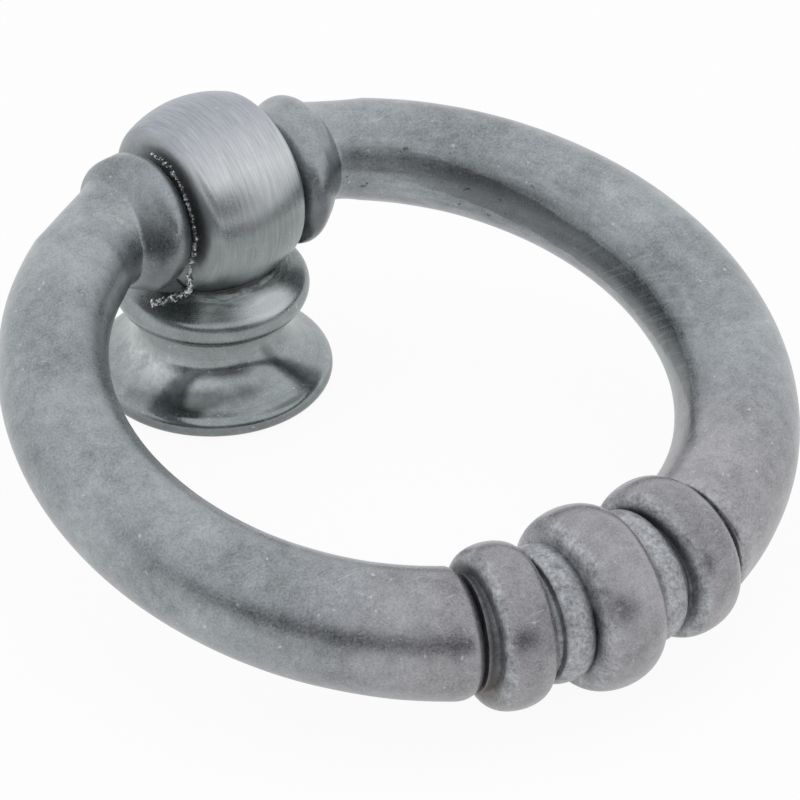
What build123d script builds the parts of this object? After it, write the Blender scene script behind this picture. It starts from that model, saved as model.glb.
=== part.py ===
from build123d import *
import os
from math import asin, cos, degrees, radians, sin

# Ring knob for a cabinet door or drawer.
# The origin is the centre of the mounting face, +Z runs out of the door along the post,
# X runs along the pivot pin, and the ring hangs towards -Y until its large bead meets the door's plane.

# Ring: a round bar bent to a circle, thickening from the pivot to the front.
ring_radius = 21.8
ring_behind_pivot = 2.0
bar_radius_at_pivot = 3.3
bar_radius_at_front = 4.2
bar_end_round = 0.5

# Turned ornament at the front of the ring: small bead, reel, large bead, reel, small bead.
ornament_turn = 3.5
ornament_bow = 1.1
core_radius = 3.75
large_bead_radius = 5.95
large_bead_width = 4.8
small_bead_radius = 5.3
small_bead_width = 3.6
reel_radius = 4.4
reel_width = 2.2
reel_crown = 0.25
groove_width = 0.4
bead_foot_depth = 0.35

# Beads at the ring's two ends, turned about the pivot, one each side of the hub.
end_bead_radius = 5.2
end_bead_width = 3.7
end_bead_rim = 1.3
end_bead_blend = 0.7

# Post: bell foot, waisted neck, collar, a flare that rises from its edge, and the hub barrel across the top.
pivot_height = 13.8
foot_radius = 8.0
foot_rim_round = 0.75
foot_rim_slope = 20.0
waist_radius = 4.9
neck_flare_height = 1.35
collar_radius = 6.45
collar_round = 1.4
collar_clearance = 0.85
collar_edge_angle = 25.0
top_flare_inset = 0.1
top_flare_below_pivot = 3.1
hub_length = 7.7
hub_radius = 6.45
hub_end_radius = 5.45
hub_rise = 0.45
hub_edge_round = 0.3

# Pivot pin and the tapped hole for the mounting screw.
pin_radius = 1.5
pin_clearance = 0.05
pin_end_gap = 0.1
side_clearance = 0.3
socket_depth = 2.9
screw_hole_radius = 1.73
screw_hole_end_wall = 2.3

pivot_to_ring_centre = ring_radius - ring_behind_pivot


def ring_point(turn):
    """A point of the ring's circle, turned from its front, with the pivot at the origin."""
    angle = radians(turn)
    return Vector(ring_radius * sin(angle), -pivot_to_ring_centre - ring_radius * cos(angle), 0)


def crowned_disc(width, crown_radius, rim_radius):
    """A disc about the local Z axis with an elliptical crown between the rims of its flat sides."""
    half = width / 2
    rise = crown_radius - rim_radius
    with BuildPart() as disc:
        with BuildSketch(Plane.XZ):
            with BuildLine():
                EllipticalCenterArc((rim_radius, 0), rise, half, start_angle=-90, arc_size=180)
                Polyline((rim_radius, half), (0, half), (0, -half), (rim_radius, -half))
            make_face()
        revolve(axis=Axis.Z)
    return disc.part


def tapered_bar(turn_start, radius_start, turn_end, radius_end):
    """A round bar along the ring's circle whose radius runs evenly from one end to the other."""
    path = ThreePointArc(
        ring_point(turn_start), ring_point((turn_start + turn_end) / 2), ring_point(turn_end)
    )
    sections = [
        Plane(path @ 0, z_dir=path % 0) * Circle(radius_start),
        Plane(path @ 1, z_dir=path % 1) * Circle(radius_end),
    ]
    return sweep(sections, path=path, multisection=True)


def make_ornament(path, step):
    """The core rod between the two bar ends, with the beads and reels strung along it."""
    start = Plane(path @ 0, z_dir=path % 0)
    rod = sweep(start * Circle(core_radius), path=path)
    bead_foot = reel_radius - bead_foot_depth
    reel_foot = reel_radius - reel_crown
    pieces = [
        (-step, small_bead_width, small_bead_radius, bead_foot),
        (-step / 2, reel_width, reel_radius, reel_foot),
        (0, large_bead_width, large_bead_radius, bead_foot),
        (step / 2, reel_width, reel_radius, reel_foot),
        (step, small_bead_width, small_bead_radius, bead_foot),
    ]
    for offset, width, crown, foot in pieces:
        share = 0.5 + offset / path.length
        seat = Plane(path @ share, z_dir=path % share)
        rod += seat * crowned_disc(width, crown, foot)
    return rod


def rest_slope(front_reach):
    """How far the ring hangs below level when its large bead lies on the mounting plane."""
    return degrees(asin((pivot_height - large_bead_radius) / front_reach))


# Ornament layout along the ring.
bead_step = (large_bead_width + small_bead_width) / 2 + reel_width
ornament_half_length = bead_step + small_bead_width / 2 + groove_width
ornament_half_turn = degrees(asin(ornament_half_length / ring_radius))
left_turn = -ornament_turn - ornament_half_turn
right_turn = -ornament_turn + ornament_half_turn
chord_middle = (ring_point(left_turn) + ring_point(right_turn)) / 2
outward = (ring_point(-ornament_turn) - Vector(0, -pivot_to_ring_centre, 0)).normalized()
ornament_middle = chord_middle + outward * ornament_bow
ornament_path = ThreePointArc(ring_point(left_turn), ornament_middle, ring_point(right_turn))

# Ring ends: each bar starts inside its end bead and runs into it with a soft blend.
end_bead_face = hub_length / 2 + side_clearance
end_bead_middle = end_bead_face + end_bead_width / 2
pivot_turn = 180 - degrees(asin(end_bead_middle / ring_radius))


def make_arm(side, front_turn, front_plane):
    """One side of the ring, from its end bead at the pivot to the front plane that faces the ornament."""
    spare_turn = degrees(bar_radius_at_front / ring_radius)
    growth = (bar_radius_at_front - bar_radius_at_pivot) / (pivot_turn - side * front_turn)
    spare_radius = bar_radius_at_front + growth * spare_turn
    bar = tapered_bar(
        side * pivot_turn, bar_radius_at_pivot, front_turn - side * spare_turn, spare_radius
    )
    bar = split(bar, bisect_by=front_plane, keep=Keep.TOP)
    front_face = bar.faces().sort_by(Axis.Y)[0]
    bar = fillet(front_face.edges(), bar_end_round)
    bead_seat = Plane((side * end_bead_middle, 0, 0), z_dir=(1, 0, 0))
    bead = bead_seat * crowned_disc(end_bead_width, end_bead_radius, end_bead_radius - end_bead_rim)
    arm = bar + bead
    arm = fillet(new_edges(bar, bead, combined=arm), end_bead_blend)
    socket_seat = Plane((side * (end_bead_face + socket_depth / 2), 0, 0), z_dir=(1, 0, 0))
    return arm - socket_seat * Cylinder(pin_radius + pin_clearance, socket_depth)


ring = make_ornament(ornament_path, bead_step)
ring += make_arm(1, right_turn, Plane(ornament_path @ 1, z_dir=ornament_path % 1))
ring += make_arm(-1, left_turn, Plane(ornament_path @ 0, z_dir=-(ornament_path % 0)))
slope = rest_slope(-ornament_middle.Y)
ring = Pos(0, 0, pivot_height) * Rot(slope, 0, 0) * ring

# Heights up the post: the collar and its flare stay clear of the end beads, which swing above them.
collar_ring_radius = collar_radius - collar_round
collar_edge_height = pivot_height - end_bead_radius - collar_clearance
collar_height = collar_edge_height - collar_round * sin(radians(collar_edge_angle))
collar_underside = collar_height - collar_round
waist_height = collar_underside - neck_flare_height
foot_flat_radius = foot_radius - foot_rim_round
top_flare_radius = hub_length / 2 - top_flare_inset
top_flare_height = pivot_height - top_flare_below_pivot
hub_height = pivot_height + hub_rise


def make_stem():
    """Foot, neck, collar and top flare, turned about Z."""
    with BuildPart() as stem:
        with BuildSketch(Plane.XZ):
            with BuildLine():
                Line((0, 0), (foot_flat_radius, 0))
                rim = CenterArc(
                    (foot_flat_radius, foot_rim_round), foot_rim_round, -90, 180 - foot_rim_slope
                )
                bell = Spline(rim @ 1, (waist_radius, waist_height), tangents=(rim % 1, (0, 1)))
                TangentArc(bell @ 1, (collar_ring_radius, collar_underside), tangent=(0, 1))
                collar = CenterArc(
                    (collar_ring_radius, collar_height), collar_round, -90, 90 + collar_edge_angle
                )
                flare_top = (top_flare_radius, top_flare_height)
                TangentArc(flare_top, collar @ 1, tangent=(0, -1))
                Polyline(flare_top, (top_flare_radius, hub_height), (0, hub_height), (0, 0))
            make_face()
        revolve(axis=Axis.Z)
    return stem.part


def make_hub():
    """The crowned barrel across the top of the post, turned about an axis along X."""
    half = hub_length / 2
    with BuildPart() as hub:
        with BuildSketch(Plane.XY):
            with BuildLine():
                crown = ThreePointArc((-half, hub_end_radius), (0, hub_radius), (half, hub_end_radius))
                Polyline(crown @ 1, (half, 0), (-half, 0), crown @ 0)
            make_face()
        revolve(axis=Axis.X)
        fillet(hub.edges().filter_by(GeomType.CIRCLE), hub_edge_round)
    return Pos(0, 0, hub_height) * hub.part


pivot_seat = Plane((0, 0, pivot_height), z_dir=(1, 0, 0))
screw_hole_depth = pivot_height - pin_radius - screw_hole_end_wall
post = make_stem() + make_hub()
post -= pivot_seat * Cylinder(pin_radius, hub_length)
post -= Pos(0, 0, screw_hole_depth / 2) * Cylinder(screw_hole_radius, screw_hole_depth)

# Pin, a tight fit in the hub and free in the ring's sockets.
pin_length = hub_length + 2 * (side_clearance + socket_depth - pin_end_gap)
pivot_pin = pivot_seat * Cylinder(pin_radius, pin_length)

os.makedirs("parts", exist_ok=True)
for name, solid in (("post", post), ("ring", ring), ("pivot_pin", pivot_pin)):
    export_step(solid, f"parts/{name}.step")
print(f"ring hangs {slope:.2f} degrees below level at rest")
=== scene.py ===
# %% [markdown]
# # A ring knob for a drawer
#
# The real object is three pieces: a turned and cast post that a screw holds on the drawer front, a cast ring that
# swings on it, and a steel pin that joins the two. The CAD model holds the sizes and the motion. Here the castings
# get the finish of the real thing: a grey patina that was rubbed by hand, dark grooves, a brushed barrel on top and
# bare bright metal where the ring rubs.
#
# The first cell loads the CAD model as a fixed frame. Its objects are never moved, so each new piece is made in the
# same place and then takes over from its CAD node.

# %% Load the fixed frame
import math

import bmesh
import bpy
import numpy as np
from mathutils import Matrix, Vector


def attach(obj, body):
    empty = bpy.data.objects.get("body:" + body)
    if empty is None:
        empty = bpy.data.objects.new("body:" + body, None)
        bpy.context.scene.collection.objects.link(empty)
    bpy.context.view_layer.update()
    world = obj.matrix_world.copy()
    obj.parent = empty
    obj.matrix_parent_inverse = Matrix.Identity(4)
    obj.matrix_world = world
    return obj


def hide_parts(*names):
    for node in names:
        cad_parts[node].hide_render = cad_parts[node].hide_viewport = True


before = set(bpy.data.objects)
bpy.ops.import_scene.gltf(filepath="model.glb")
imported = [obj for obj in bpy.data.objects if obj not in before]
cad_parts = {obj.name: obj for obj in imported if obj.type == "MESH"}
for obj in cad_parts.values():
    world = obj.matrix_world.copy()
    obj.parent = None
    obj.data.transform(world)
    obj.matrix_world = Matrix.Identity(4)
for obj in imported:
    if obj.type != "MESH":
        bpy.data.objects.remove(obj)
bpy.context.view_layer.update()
MM = 0.001
print("CAD nodes:", sorted(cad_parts))

# %% [markdown]
# ## Sizes
#
# These are the sizes of the knob in millimetres. They are those of the CAD source, apart from the reels, which are a
# little rounder here. The ring's bar lies on a circle whose back runs 2 mm behind the pivot. A "turn" is an angle
# round that circle, counted from the front. A bead or a reel is given by its width, the radius of its crown and the
# radius of its foot.

# %% Sizes of the knob
RING_RADIUS = 21.8
RING_CENTRE_Y = -19.8
BAR_AT_PIVOT = 3.3
BAR_AT_FRONT = 4.2
CORE_RADIUS = 3.75
PIVOT_HEIGHT = 13.8
BARREL_HEIGHT = 14.25
END_BEAD_MIDDLE = 6.0
LARGE_BEAD = (4.8, 5.95, 4.05)
SMALL_BEAD = (3.6, 5.3, 4.05)
REEL = (2.2, 4.45, 3.95)
ORNAMENT_TURN = math.radians(-3.5)
ORNAMENT_HALF_LENGTH = 8.6
ORNAMENT_HALF_TURN = math.asin(ORNAMENT_HALF_LENGTH / RING_RADIUS)
ORNAMENT_BOW = 1.1
PIVOT_TURN = math.pi - math.asin(END_BEAD_MIDDLE / RING_RADIUS)
CREASE_ANGLE = math.radians(38)


def ring_point(turn):
    """A point on the ring's circle, with the pivot at the origin."""
    return Vector((RING_RADIUS * math.sin(turn), RING_CENTRE_Y - RING_RADIUS * math.cos(turn), 0))


left_turn = ORNAMENT_TURN - ORNAMENT_HALF_TURN
right_turn = ORNAMENT_TURN + ORNAMENT_HALF_TURN
outward = Vector((math.sin(ORNAMENT_TURN), -math.cos(ORNAMENT_TURN), 0))
ornament_middle = (ring_point(left_turn) + ring_point(right_turn)) / 2 + outward * ORNAMENT_BOW
rest_slope = math.asin((PIVOT_HEIGHT - LARGE_BEAD[1]) / -ornament_middle.y)
half_chord = (ring_point(right_turn) - ring_point(left_turn)).length / 2
arc_radius = (half_chord**2 + ORNAMENT_BOW**2) / (2 * ORNAMENT_BOW)
end_tilt = ORNAMENT_HALF_TURN - math.asin(half_chord / arc_radius)
print(f"the ring hangs {math.degrees(rest_slope):.2f} degrees below level")

# %% [markdown]
# ## Helpers for node trees
#
# Geometry Nodes and shaders are both trees of nodes, so the same helpers serve them all. `add` makes a node, sets its
# options and fills its inputs: a plain number is written on the socket, and an output of another node is linked. A
# `Value` is such an output that can stand in a sum, so `a * b + 1.0` adds two Math nodes and links them.

# %% Values that can stand in a sum
class Value:
    """An output socket of a node tree. Each operator adds one Math node."""

    def __init__(self, socket):
        self.socket = socket
        self.tree = socket.id_data

    def __add__(self, other):
        return calc("ADD", self, other)

    def __sub__(self, other):
        return calc("SUBTRACT", self, other)

    def __rsub__(self, other):
        return calc("SUBTRACT", other, self)

    def __mul__(self, other):
        return calc("MULTIPLY", self, other)

    def __truediv__(self, other):
        return calc("DIVIDE", self, other)

    def __pow__(self, other):
        return calc("POWER", self, other)

    def __abs__(self):
        return calc("ABSOLUTE", self)


print("values can stand in sums")


# %% Add nodes and fill their inputs
def feed(socket, value):
    """Links a value, a socket or a node's first output, or writes a plain value."""
    if isinstance(value, bpy.types.Node):
        value = next(s for s in value.outputs if s.enabled)
    if isinstance(value, Value):
        value = value.socket
    if isinstance(value, bpy.types.NodeSocket):
        socket.id_data.links.new(value, socket)
    else:
        socket.default_value = value


def add(tree, kind, inputs=None, **options):
    """Adds a node with its options and inputs."""
    node = tree.nodes.new(kind)
    for key, value in options.items():
        setattr(node, key, value)
    for key, value in (inputs or {}).items():
        feed(node.inputs[key], value)
    return node


def owner(*values):
    """The tree that holds the first of the values that isn't a plain number."""
    return next(value.tree for value in values if isinstance(value, Value))


def read(output, *node, **options):
    """Adds a node and returns one of its outputs as a value."""
    return Value(add(*node, **options).outputs[output])


def calc(operation, *values):
    """One Math node."""
    return read(0, owner(*values), "ShaderNodeMath", dict(enumerate(values)), operation=operation)


print("nodes can be added and linked")


# %% Helpers for vectors and soft steps
def xyz(x=0.0, y=0.0, z=0.0):
    """A vector of three values."""
    return read(0, owner(x, y, z), "ShaderNodeCombineXYZ", {"X": x, "Y": y, "Z": z})


def split(vector):
    """The three values of a vector."""
    return [Value(socket) for socket in add(vector.tree, "ShaderNodeSeparateXYZ", {0: vector}).outputs]


def scale_vector(vector, factor):
    """A vector times a number."""
    return read("Vector", vector.tree, "ShaderNodeVectorMath", {0: vector, "Scale": factor}, operation="SCALE")


def blend(start, end, share):
    """The value that lies a share of the way from start to end."""
    return share * (end - start) + start


def ease(value, low, high):
    """Runs softly from 0 to 1 while a value goes from low to high."""
    inputs = {"Value": value, "From Min": low, "From Max": high, "To Min": 0.0, "To Max": 1.0}
    return read("Result", value.tree, "ShaderNodeMapRange", inputs, interpolation_type="SMOOTHSTEP")


print("vectors can be built, split and scaled")


# %% Helpers for new trees
def new_tree(name, inputs, outputs=None):
    """A shader group with named sockets or, where no outputs are named, a Geometry Nodes tree that makes a mesh."""
    tree = bpy.data.node_groups.new(name, "ShaderNodeTree" if outputs else "GeometryNodeTree")
    for way, sockets in (("INPUT", inputs), ("OUTPUT", outputs or {"Mesh": "Geometry"})):
        for label, kind in sockets.items():
            tree.interface.new_socket(label, in_out=way, socket_type="NodeSocket" + kind)
    entry = tree.nodes.new("NodeGroupInput")
    wanted = tree.nodes.new("NodeGroupOutput").inputs

    def given(label):
        """The value that the tree is given under a name."""
        return Value(entry.outputs[label])

    return tree, given, wanted


def floats(*labels):
    """Sockets for plain numbers."""
    return dict.fromkeys(labels, "Float")


def kinds(sizes):
    """The kind of socket that each of a table of sizes needs."""
    names = {float: "Float", int: "Int", tuple: "Vector", Vector: "Vector", bpy.types.Material: "Material"}
    return {label: names[type(value)] for label, value in sizes.items()}


print("new trees can have named sockets")

# %% [markdown]
# ## Trees that make the turned forms
#
# A bead is a disc with a rounded crown, as a lathe would leave it. It could be spun from a profile, but in Geometry
# Nodes its sizes stay inputs, so one tree makes all the beads and reels. The tree draws a circle along a straight line
# and lets the circle's size follow the crown. The points of the line crowd together at both ends, where the crown is
# steepest. The bar is made the same way: the line is the ring's circle, and the size runs evenly from the pivot to the
# front, with a rounded end that leans to lie flat against the ornament.

# %% Helpers for the turned forms
AROUND = 96
DISC_ROWS = 45
BAR_ROWS = 230
KNUCKLE_ROWS = 120


def row_share(tree, rows):
    """How far along the line a point lies, from 0 to 1, counted in points."""
    return read("Index", tree, "GeometryNodeSplineParameter") / (rows - 1.0)


def position(tree):
    """The place of each point."""
    return read(0, tree, "GeometryNodeInputPosition")


def set_position(mesh, **inputs):
    """Moves points to a Position or by an Offset."""
    return add(mesh.id_data, "GeometryNodeSetPosition", {"Geometry": mesh, **inputs})


def tube(path, radius):
    """Draws a circle of the given radius along a path and closes both ends."""
    circle = add(path.id_data, "GeometryNodeCurvePrimitiveCircle", {"Resolution": AROUND, "Radius": 1.0})
    inputs = {"Curve": path, "Profile Curve": circle, "Scale": radius, "Fill Caps": True}
    return add(path.id_data, "GeometryNodeCurveToMesh", inputs)


def skin(rows, place, radius):
    """Draws a circle of the given radius along a line of points at the given place."""
    line = add(place.tree, "GeometryNodeCurvePrimitiveLine")
    points = add(place.tree, "GeometryNodeResampleCurve", {"Curve": line, "Count": rows}, mode="COUNT")
    return tube(set_position(points, Position=place), radius)


print("a tube has", AROUND, "points around it")

# %% Trees for the beads and the bar
disc_tree, given, wanted = new_tree("crowned disc", floats("Width", "Crown Radius", "Foot Radius", "Roundness"))
half_circle = row_share(disc_tree, DISC_ROWS) * math.pi
place = xyz(z=calc("COSINE", half_circle) * given("Width") * -0.5)
crown = calc("SINE", half_circle) ** given("Roundness")
radius = blend(given("Foot Radius"), given("Crown Radius"), crown)
feed(wanted["Mesh"], skin(DISC_ROWS, place, radius))

END_CROWDING = 1.5
LEAN_FADE = 4.5
bar_shared = ("Ring Radius", "Ring Centre", "Bar Radius at Pivot", "Bar Radius at Front")
bar_own = ("Turn", "End Round")
bar_tree, given, wanted = new_tree("tapered bar", floats(*bar_shared, *bar_own, "Pivot Turn", "End Tilt"))
share = 1.0 - (1.0 - row_share(bar_tree, BAR_ROWS)) ** END_CROWDING
turn = blend(given("Pivot Turn"), given("Turn"), share)
depth = calc("COSINE", turn) * given("Ring Radius")
place = xyz(calc("SINE", turn) * given("Ring Radius"), given("Ring Centre") - depth)
way_left = abs(given("Turn") - turn) * given("Ring Radius")
into_round = calc("MAXIMUM", 1.0 - way_left / given("End Round"), 0.0)
kept = calc("SQRT", 1.0 - into_round * into_round)
even = blend(given("Bar Radius at Pivot"), given("Bar Radius at Front"), share)
straight_end = skin(BAR_ROWS, place, even - given("End Round") * (1.0 - kept))

x, y, _ = split(position(bar_tree))
from_middle = y - given("Ring Centre")
spread = calc("SQRT", x**2.0 + from_middle**2.0) / given("Ring Radius") - 1.0
spot_turn = calc("ARCTAN2", x, from_middle * -1.0)
near_end = calc("MAXIMUM", 1.0 - abs(given("Turn") - spot_turn) * LEAN_FADE, 0.0)
lean = spread * near_end * calc("TANGENT", given("End Tilt"))
inputs = {"Vector": position(bar_tree), "Center": xyz(y=given("Ring Centre")), "Angle": lean}
leant = add(bar_tree, "ShaderNodeVectorRotate", inputs, rotation_type="Z_AXIS")
feed(wanted["Mesh"], set_position(straight_end, Position=leant))
print("trees:", disc_tree.name, bar_tree.name)

# %% [markdown]
# Each end of the ring is a knuckle that faces the barrel. It could be one more bead, but the real one flows into the
# bar, so it is a tube that starts on the pivot's axis and bends over to the ring's circle. Its skin climbs from the
# face to a crown and falls to a throat, where it runs into the bar. The casting isn't true: each knuckle has its own
# width and shift, and the left one tilts outwards in front. The face itself stays parallel to the barrel, and behind
# the pivot the tilt fades out.

# %% Tree for the knuckles
KNUCKLE_TOP = 4.0
TILT_FROM_Y, TILT_TO_Y = 2.5, -1.0
FACE_ROUNDNESS, BACK_ROUNDNESS = 0.85, 0.75
knuckle_shared = ("Ring Radius", "Ring Centre", "Knuckle Face Radius", "Throat Radius")
knuckle_own = ("Knuckle Radius", "Face", "Crown", "Fall", "Tilt", "Shift")
knuckle_tree, given, wanted = new_tree(
    "knuckle", {**floats(*knuckle_shared, *knuckle_own, "Side"), "Shift": "Vector"}
)
half_circle = row_share(knuckle_tree, KNUCKLE_ROWS) * math.pi
up_face = calc("MINIMUM", half_circle, math.pi / 2)
down_back = calc("MAXIMUM", half_circle - math.pi / 2, 0.0)
near_x = blend(given("Crown"), given("Face"), calc("COSINE", up_face))
out = calc("SINE", down_back) * given("Fall") + near_x
on_face = blend(given("Knuckle Face Radius"), given("Knuckle Radius"), calc("SINE", up_face) ** FACE_ROUNDNESS)
radius = blend(given("Throat Radius"), on_face, calc("COSINE", down_back) ** BACK_ROUNDNESS)
straight = skin(KNUCKLE_ROWS, xyz(out * given("Side")), radius)

x, y, z = split(position(knuckle_tree))
bar_y = given("Ring Centre") + calc("SQRT", given("Ring Radius") ** 2.0 - abs(x) ** 2.0)
to_bar = ease(abs(x), given("Crown"), given("Crown") + given("Fall"))
_, shift_y, shift_z = split(given("Shift"))
below_top = calc("MINIMUM", KNUCKLE_TOP - z, KNUCKLE_TOP)
below_top = blend(1.0, below_top, ease(y, TILT_FROM_Y, TILT_TO_Y))
off_face = ease(abs(x), given("Face"), given("Crown"))
aside = below_top * given("Tilt") * off_face * given("Side")
moved = xyz(aside, blend(shift_y, bar_y, to_bar), blend(shift_z, 0.0, to_bar))
feed(wanted["Mesh"], set_position(straight, Offset=moved))
print("tree:", knuckle_tree.name)

# %% [markdown]
# ## The ring
#
# The ring was cast in one piece, so the tree below strings the bars, the knuckles, the core and the beads together and
# fuses them with one union. Pieces that only overlap would look much the same from afar, but one closed skin can be
# softened where the knuckles meet the bars, and drilled. Last the tree sinks the skin by a few hundredths of a
# millimetre in slow waves, because a casting that was rubbed by hand is never quite true. The waves come from noise
# with a fixed seed.

# %% Sizes of the ring's tree
ring_metal = bpy.data.materials.new("ring_patina")
hand_sizes = {
    "Turn": (left_turn, right_turn),
    "End Round": (1.2, 0.4),
    "Knuckle Radius": (4.65, 4.75),
    "Face": (4.2, 4.3),
    "Crown": (5.6, 5.6),
    "Fall": (1.6, 2.8),
    "Tilt": (0.18, 0.0),
    "Shift": ((0, 0.0, 0.6), (0, -0.3, -0.4)),
}
ring_sizes = {
    "Ring Radius": RING_RADIUS,
    "Ring Centre": RING_CENTRE_Y,
    "Bar Radius at Pivot": BAR_AT_PIVOT,
    "Bar Radius at Front": BAR_AT_FRONT,
    "Pivot Turn": PIVOT_TURN,
    "End Tilt": end_tilt,
    "Ornament Start": ring_point(left_turn),
    "Ornament Middle": ornament_middle,
    "Ornament End": ring_point(right_turn),
    "Core Radius": CORE_RADIUS,
    "Knuckle Face Radius": 2.6,
    "Throat Radius": 3.05,
    "Socket Radius": 1.55,
    "Socket Span": 14.1,
    "Rest Slope": rest_slope,
    "Pivot Height": PIVOT_HEIGHT,
    "Waviness": 0.07,
    "Seed": 7,
    "Metal": ring_metal,
}
for label, (left, right) in hand_sizes.items():
    ring_sizes["Left " + label] = left
    ring_sizes["Right " + label] = right
print("inputs of the ring's tree:", len(ring_sizes))

# %% Tree for the ring
tree, given, wanted = new_tree("ring casting", kinds(ring_sizes))


def group(tree, inner, inputs):
    """Places a tree inside another one."""
    return add(tree, "GeometryNodeGroup", inputs, node_tree=inner)


def pass_on(labels, hand=""):
    """Sizes of the ring for the sockets of an inner tree, which have the same names."""
    return {label: given(hand + label) for label in labels}


solids = []
for side, hand in ((-1.0, "Left "), (1.0, "Right ")):
    turns = {"Pivot Turn": given("Pivot Turn") * side, "End Tilt": given("End Tilt") * -side}
    solids.append(group(tree, bar_tree, {**pass_on(bar_shared), **pass_on(bar_own, hand), **turns}))
    inputs = {**pass_on(knuckle_shared), **pass_on(knuckle_own, hand), "Side": side}
    solids.append(group(tree, knuckle_tree, inputs))
print("bars and knuckles:", len(solids))

# %% String the beads on the ornament's arc
BEAD_ROUNDNESS = 0.72
ARC_ROWS = 90
inputs = {label: given("Ornament " + label) for label in ("Start", "Middle", "End")}
arc = add(tree, "GeometryNodeCurveArc", {"Resolution": ARC_ROWS, **inputs}, mode="POINTS")
solids.append(tube(arc, given("Core Radius")))
step = (LARGE_BEAD[0] + SMALL_BEAD[0]) / 2 + REEL[0]
string = [(-step, SMALL_BEAD), (-step / 2, REEL), (0, LARGE_BEAD), (step / 2, REEL), (step, SMALL_BEAD)]
arc_middle = read(0, tree, "GeometryNodeCurveLength", {"Curve": arc}) * 0.5
for offset, (width, crown_radius, foot_radius) in string:
    inputs = {"Curves": arc, "Length": arc_middle + offset}
    spot = add(tree, "GeometryNodeSampleCurve", inputs, mode="LENGTH")
    aim = add(tree, "FunctionNodeAlignRotationToVector", {"Vector": spot.outputs["Tangent"]}, axis="Z")
    sizes = {"Width": width, "Crown Radius": crown_radius, "Foot Radius": foot_radius, "Roundness": BEAD_ROUNDNESS}
    bead = group(tree, disc_tree, sizes)
    seated = {"Geometry": bead, "Translation": spot.outputs["Position"], "Rotation": aim}
    solids.append(add(tree, "GeometryNodeTransform", seated))
print("solids strung on the ring:", len(solids))

# %% Fuse the ring, soften its ends and drill its sockets
JOINT_SPOT = (8.0, 0.8, 0)
JOINT_OUTSIDE, JOINT_INSIDE = 5.2, 4.1
BLUR_ROUNDS = 45
DRILL_SIDES = 48
fused = add(tree, "GeometryNodeMeshBoolean", operation="UNION", solver="MANIFOLD")
for solid in solids:
    feed(fused.inputs["Mesh 2"], solid)
spot = position(tree)
x, y, z = split(spot)
inputs = {0: xyz(abs(x), y, abs(z)), 1: JOINT_SPOT}
to_joint = read("Value", tree, "ShaderNodeVectorMath", inputs, operation="DISTANCE")
near_joint = ease(to_joint, JOINT_OUTSIDE, JOINT_INSIDE)
inputs = {"Value": spot, "Iterations": BLUR_ROUNDS, "Weight": near_joint}
blurred = add(tree, "GeometryNodeBlurAttribute", inputs, data_type="FLOAT_VECTOR")
soft_ends = set_position(fused.outputs["Mesh"], Position=blurred)
inputs = {"Vertices": DRILL_SIDES, "Radius": given("Socket Radius"), "Depth": given("Socket Span")}
drill = add(tree, "GeometryNodeMeshCylinder", inputs).outputs["Mesh"]
drill = add(tree, "GeometryNodeTransform", {"Geometry": drill, "Rotation": (0, math.pi / 2, 0)})
inputs = {"Mesh 1": soft_ends, "Mesh 2": drill}
drilled = add(tree, "GeometryNodeMeshBoolean", inputs, operation="DIFFERENCE", solver="MANIFOLD")
print("ring tree has", len(tree.nodes), "nodes")

# %% Give the ring slow waves and hang it on the pivot
inputs = {"W": given("Seed"), "Scale": 0.22, "Detail": 2.0, "Roughness": 0.45}
waves = read("Fac", tree, "ShaderNodeTexNoise", inputs, noise_dimensions="4D")
sink = waves * given("Waviness") * -1.0
push = scale_vector(read(0, tree, "GeometryNodeInputNormal"), sink)
wavy = set_position(drilled.outputs["Mesh"], Offset=push)
smooth = add(tree, "GeometryNodeSetShadeSmooth", {"Geometry": wavy, "Shade Smooth": True}, domain="FACE")
edge_angle = add(tree, "GeometryNodeInputMeshEdgeAngle").outputs["Unsigned Angle"]
crease = add(tree, "FunctionNodeCompare", {0: edge_angle, 1: CREASE_ANGLE}, operation="GREATER_THAN")
inputs = {"Geometry": smooth, "Selection": crease, "Shade Smooth": False}
creased = add(tree, "GeometryNodeSetShadeSmooth", inputs, domain="EDGE")
inputs = {
    "Geometry": creased,
    "Translation": xyz(z=given("Pivot Height") * MM),
    "Rotation": xyz(given("Rest Slope")),
    "Scale": (MM, MM, MM),
}
hung = add(tree, "GeometryNodeTransform", inputs)


def dress(mesh, metal):
    """Makes copies real and gives the mesh its material."""
    real = add(mesh.id_data, "GeometryNodeRealizeInstances", {"Geometry": mesh})
    return add(mesh.id_data, "GeometryNodeSetMaterial", {"Geometry": real, "Material": metal})


feed(wanted["Mesh"], dress(hung, given("Metal")))
print("ring tree has", len(tree.nodes), "nodes")


# %% Run the tree and keep a plain mesh
def loose_object(name, mesh):
    """An object in the scene for a mesh."""
    thing = bpy.data.objects.new(name, mesh)
    bpy.context.scene.collection.objects.link(thing)
    return thing


def plain_mesh(thing):
    """The mesh of an object with its modifiers applied."""
    bpy.context.view_layer.update()
    depsgraph = bpy.context.evaluated_depsgraph_get()
    return bpy.data.meshes.new_from_object(thing.evaluated_get(depsgraph), depsgraph=depsgraph)


def triangles(mesh):
    """How many triangles a mesh has."""
    return sum(len(face.vertices) - 2 for face in mesh.polygons)


def run_tree(tree, name, sizes, base=None):
    """Evaluates a tree once with its sizes and returns a plain object."""
    holder = loose_object(name + "_holder", base or bpy.data.meshes.new(name + "_base"))
    modifier = holder.modifiers.new("tree", "NODES")
    modifier.node_group = tree
    for item in tree.interface.items_tree:
        if item.in_out == "INPUT" and item.name in sizes:
            modifier[item.identifier] = sizes[item.name]
    holder.update_tag()
    mesh = plain_mesh(holder)
    holder.modifiers.remove(modifier)
    bpy.data.objects.remove(holder)
    mesh.name = name
    return loose_object(name, mesh)


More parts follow.
